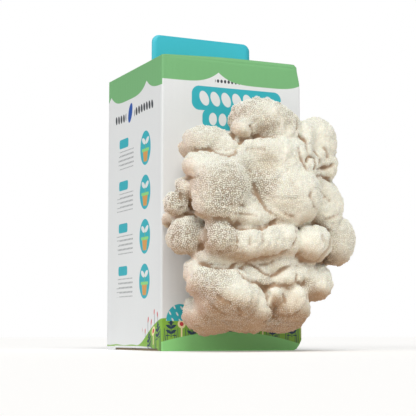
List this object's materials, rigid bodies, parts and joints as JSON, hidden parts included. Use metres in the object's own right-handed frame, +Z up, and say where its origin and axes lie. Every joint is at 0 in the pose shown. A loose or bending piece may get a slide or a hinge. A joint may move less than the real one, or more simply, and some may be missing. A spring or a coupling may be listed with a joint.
{
  "type": "lion's mane mushroom grow kit",
  "caption": "Square printed carton with a card handle and a large white lobed fungus growing out of its front window.",
  "frame": {"origin": "centre of the carton's base, on the surface that it stands on", "axes": "+Z up along the carton, -Y out of the front panel towards the fungus, +X to the right as seen from the front"},
  "size_m": [0.1738, 0.2383, 0.283],
  "materials": {
    "printed_board": "satin",
    "blue_card": "satin",
    "growing_medium": "matte",
    "fungus_flesh": "matte"
  },
  "bodies": {
    "root": {"carton": "printed_board", "handle_tab": "blue_card", "substrate_block": "growing_medium", "fruiting_body": "fungus_flesh"}
  },
  "joints": []
}
